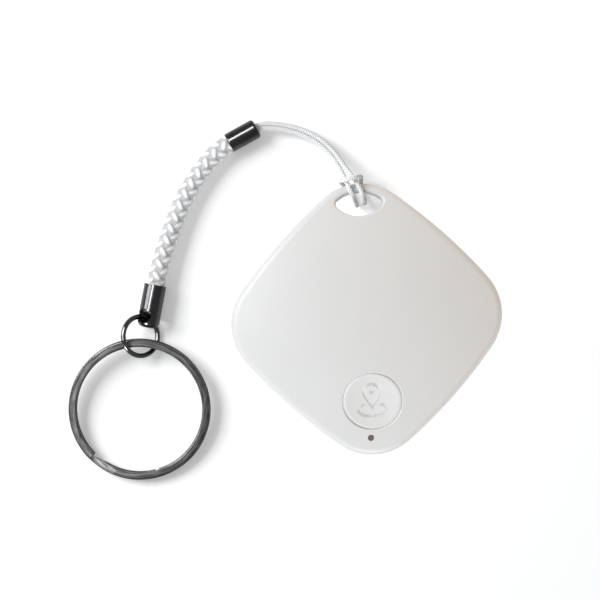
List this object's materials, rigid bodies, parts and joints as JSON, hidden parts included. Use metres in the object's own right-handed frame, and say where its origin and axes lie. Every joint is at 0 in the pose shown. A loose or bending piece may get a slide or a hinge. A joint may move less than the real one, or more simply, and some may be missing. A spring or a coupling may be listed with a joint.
{
  "type": "bluetooth tracker tag",
  "caption": "Rounded-diamond bluetooth tracker tag with a press button, girth-hitched cord lanyard, two dark ferrules, a jump ring and a flat split key ring.",
  "frame": {"origin": "under the middle of the tag, on its flat back face", "axes": "+Z out of the domed front face, +Y towards the lanyard eye, +X to the right"},
  "size_m": [0.077, 0.0619, 0.0082],
  "materials": {
    "shell_white": "satin fine grain",
    "button_white": "satin fine grain",
    "door_white": "satin fine grain",
    "smoked_pipe": "smoked translucent",
    "seal_rubber": "soft",
    "cell_steel": "satin",
    "cell_plastic": "matt",
    "cathode_black": "pressed powder",
    "separator_white": "non-woven",
    "anode_grey": "soft metal",
    "board_green": "solder mask",
    "screw_steel": "zinc plated",
    "chip_black": "moulded epoxy",
    "crystal_steel": "satin",
    "antenna_ceramic": "ceramic",
    "led_lens": "clear resin",
    "passive_brown": "ceramic",
    "contact_nickel": "nickel plated",
    "sounder_brass": "satin",
    "sounder_silvered": "silvered ceramic",
    "switch_black": "moulded",
    "plunger_black": "moulded",
    "cord_white": "fine round braid",
    "braid_white": "round braid",
    "black_nickel": "polished black nickel",
    "dark_wire": "black nickel",
    "dark_steel": "brushed gunmetal"
  },
  "bodies": {
    "tag": {"front_shell": "shell_white", "back_shell": "shell_white", "shell_seal": "seal_rubber", "light_pipe": "smoked_pipe", "cell_can": "cell_steel", "cell_cap": "cell_steel", "cell_gasket": "cell_plastic", "cell_cathode": "cathode_black", "cell_separator": "separator_white", "cell_anode": "anode_grey", "main_board": "board_green", "board_screws": "screw_steel", "bluetooth_chip": "chip_black", "crystal": "crystal_steel", "chip_antenna": "antenna_ceramic", "status_led": "led_lens", "resistors_and_capacitors": "passive_brown", "positive_contact": "contact_nickel", "negative_contact": "contact_nickel", "sounder_plate": "sounder_brass", "sounder_ceramic": "sounder_silvered", "switch_body": "switch_black", "thin_cord": "cord_white", "upper_ferrule": "black_nickel", "braided_cord": "braid_white", "lower_ferrule": "black_nickel"},
    "button": {"find_button": "button_white", "switch_plunger": "plunger_black"},
    "door": {"battery_door": "door_white", "door_seal_ring": "seal_rubber"},
    "jump": {"jump_ring": "dark_wire"},
    "keys": {"key_ring": "dark_steel"}
  },
  "joints": [
    {"name": "button_press", "type": "slide", "parent": "tag", "child": "button", "axis": [0, 0, -1], "range_m": [0, 0.00035], "stiffness_N_per_m": 3000, "springref_m": -0.0002},
    {"name": "door_twist", "type": "hinge", "parent": "tag", "child": "door", "pos_m": [0, 0.0025, 0.0005], "axis": [0, 0, 1], "range_deg": [0, 30]},
    {"name": "jump_ring_swing", "type": "hinge", "parent": "tag", "child": "jump", "pos_m": [-0.0397, 0.00305, 0.00245], "axis": [0.8192, 0, -0.5736], "range_deg": [-20, 0]},
    {"name": "key_ring_turn", "type": "hinge", "parent": "jump", "child": "keys", "pos_m": [-0.0408, -0.0132, 0.00093], "axis": [0, -0.0732, 0.9973], "continuous": true}
  ]
}
